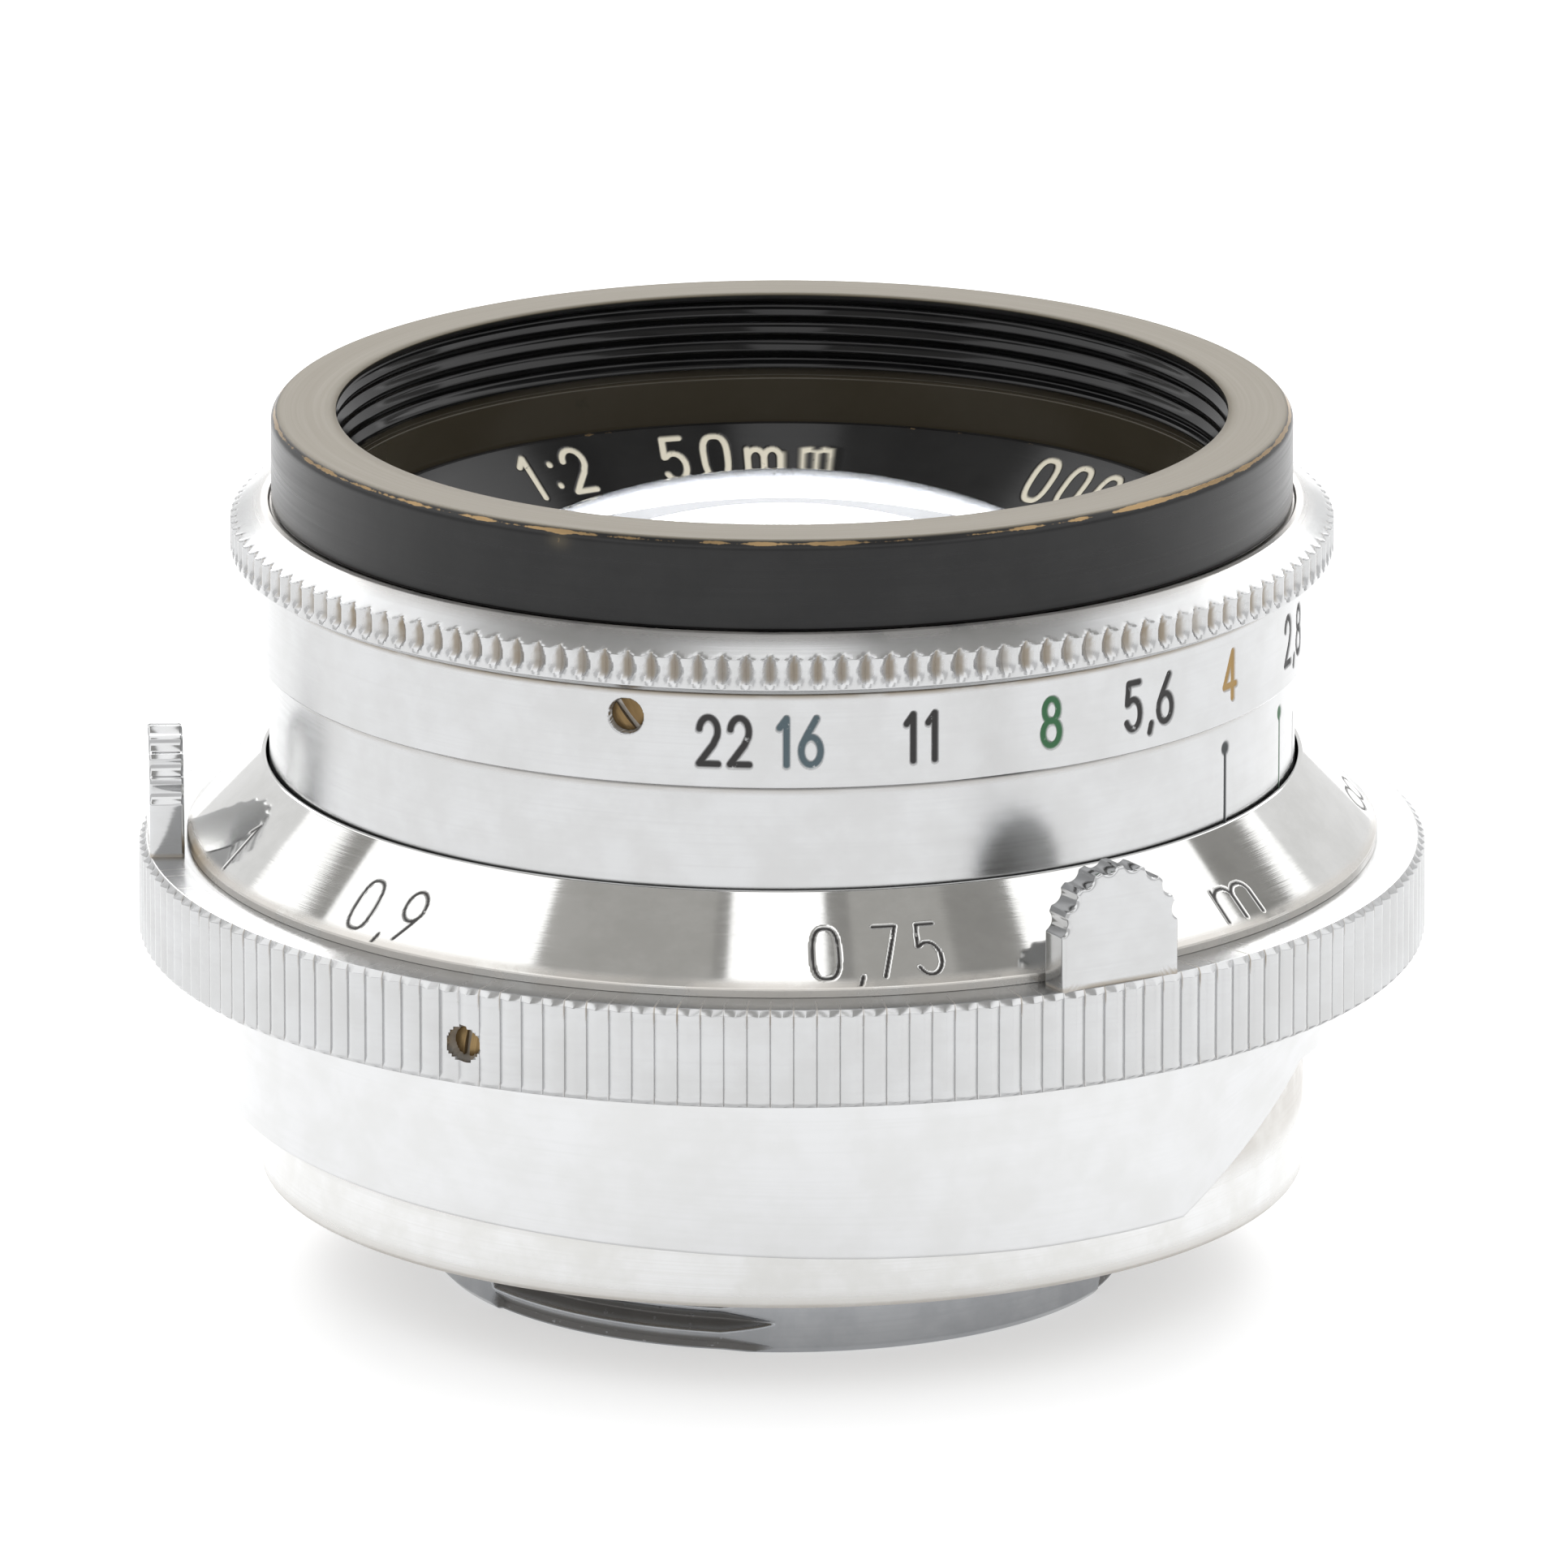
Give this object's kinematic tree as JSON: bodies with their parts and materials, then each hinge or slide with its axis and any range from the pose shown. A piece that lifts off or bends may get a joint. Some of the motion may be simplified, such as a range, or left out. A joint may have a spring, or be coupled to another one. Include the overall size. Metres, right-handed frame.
{
  "type": "prime camera lens",
  "caption": "Vintage chrome prime lens with an interrupted-thread mount, tabbed focusing ring, engraved scales, click-free aperture ring and bladed iris.",
  "frame": {"origin": "on the optical axis at the rear end of the mount collar, which is the bottom of the standing lens", "axes": "+Z along the optical axis from the mount to the front; -Y is azimuth 0, and azimuths run towards +X"},
  "size_m": [0.052, 0.052, 0.0355],
  "materials": {
    "satin_chrome": "fine turned satin chrome",
    "bright_chrome": "polished chrome",
    "black_lacquer": "satin black lacquer over brass, worn at the edges",
    "blackened_brass": "matt black",
    "brass": "machined",
    "steel": "machined",
    "blade_steel": "blued spring steel",
    "coated_glass": "polished, thin pale-blue coating"
  },
  "bodies": {
    "mount": {"mount_ring": "satin_chrome", "mount_screws": "steel", "key_carrier": "blackened_brass", "guide_keys": "steel", "key_screws": "steel", "rear_barrel": "satin_chrome", "focus_stop_screw": "steel"},
    "focusing_ring": {"focus_ring": "satin_chrome", "distance_ring": "bright_chrome", "focus_tab_left": "bright_chrome", "focus_tab_right": "bright_chrome", "cam_sleeve": "satin_chrome", "focus_set_screws": "brass", "focus_helicoid": "brass"},
    "lens_head": {"head_barrel": "blackened_brass", "depth_scale_ring": "satin_chrome", "front_rim": "black_lacquer", "name_ring": "black_lacquer", "front_cell": "blackened_brass", "front_element": "coated_glass", "front_spacer": "blackened_brass", "front_doublet_positive": "coated_glass", "front_doublet_negative": "coated_glass", "rear_cell": "blackened_brass", "rear_doublet_negative": "coated_glass", "rear_doublet_positive": "coated_glass", "rear_spacer": "blackened_brass", "rear_element": "coated_glass", "rear_retaining_ring": "blackened_brass", "iris_base_ring": "blackened_brass", "iris_base_screws": "steel"},
    "aperture_control": {"aperture_ring": "satin_chrome", "aperture_sleeve": "brass", "aperture_set_screws": "brass", "aperture_drive_pin": "steel", "iris_cam_ring": "blackened_brass"},
    "blade_1": {"iris_blade_1": "blade_steel"},
    "blade_2": {"iris_blade_2": "blade_steel"},
    "blade_3": {"iris_blade_3": "blade_steel"},
    "blade_4": {"iris_blade_4": "blade_steel"},
    "blade_5": {"iris_blade_5": "blade_steel"},
    "blade_6": {"iris_blade_6": "blade_steel"},
    "blade_7": {"iris_blade_7": "blade_steel"},
    "blade_8": {"iris_blade_8": "blade_steel"}
  },
  "joints": [
    {"name": "focus_turn", "type": "hinge", "parent": "mount", "child": "focusing_ring", "pos_m": [0, 0, 0.0158], "axis": [0, 0, 1], "range_deg": [-277, 0]},
    {"name": "head_slide", "type": "slide", "parent": "mount", "child": "lens_head", "axis": [0, 0, 1], "range_m": [0, 0.00385]},
    {"name": "aperture_turn", "type": "hinge", "parent": "lens_head", "child": "aperture_control", "pos_m": [0, 0, 0.0285], "axis": [0, 0, 1], "range_deg": [0, 99]},
    {"name": "blade_1_swing", "type": "hinge", "parent": "lens_head", "child": "blade_1", "pos_m": [0.0133, 0, 0.016], "axis": [0, 0, 1], "range_deg": [0, 34]},
    {"name": "blade_2_swing", "type": "hinge", "parent": "lens_head", "child": "blade_2", "pos_m": [0.0094, 0.0094, 0.016], "axis": [0, 0, 1], "range_deg": [0, 34]},
    {"name": "blade_3_swing", "type": "hinge", "parent": "lens_head", "child": "blade_3", "pos_m": [0, 0.0133, 0.016], "axis": [0, 0, 1], "range_deg": [0, 34]},
    {"name": "blade_4_swing", "type": "hinge", "parent": "lens_head", "child": "blade_4", "pos_m": [-0.0094, 0.0094, 0.016], "axis": [0, 0, 1], "range_deg": [0, 34]},
    {"name": "blade_5_swing", "type": "hinge", "parent": "lens_head", "child": "blade_5", "pos_m": [-0.0133, 0, 0.016], "axis": [0, 0, 1], "range_deg": [0, 34]},
    {"name": "blade_6_swing", "type": "hinge", "parent": "lens_head", "child": "blade_6", "pos_m": [-0.0094, -0.0094, 0.016], "axis": [0, 0, 1], "range_deg": [0, 34]},
    {"name": "blade_7_swing", "type": "hinge", "parent": "lens_head", "child": "blade_7", "pos_m": [0, -0.0133, 0.016], "axis": [0, 0, 1], "range_deg": [0, 34]},
    {"name": "blade_8_swing", "type": "hinge", "parent": "lens_head", "child": "blade_8", "pos_m": [0.0094, -0.0094, 0.016], "axis": [0, 0, 1], "range_deg": [0, 34]}
  ],
  "couplings": [
    {"joint": "head_slide", "follows": "focus_turn", "m_per_rad": -0.000796},
    {"joint": "blade_1_swing", "follows": "aperture_turn", "ratio": 0.3434},
    {"joint": "blade_2_swing", "follows": "aperture_turn", "ratio": 0.3434},
    {"joint": "blade_3_swing", "follows": "aperture_turn", "ratio": 0.3434},
    {"joint": "blade_4_swing", "follows": "aperture_turn", "ratio": 0.3434},
    {"joint": "blade_5_swing", "follows": "aperture_turn", "ratio": 0.3434},
    {"joint": "blade_6_swing", "follows": "aperture_turn", "ratio": 0.3434},
    {"joint": "blade_7_swing", "follows": "aperture_turn", "ratio": 0.3434},
    {"joint": "blade_8_swing", "follows": "aperture_turn", "ratio": 0.3434}
  ]
}
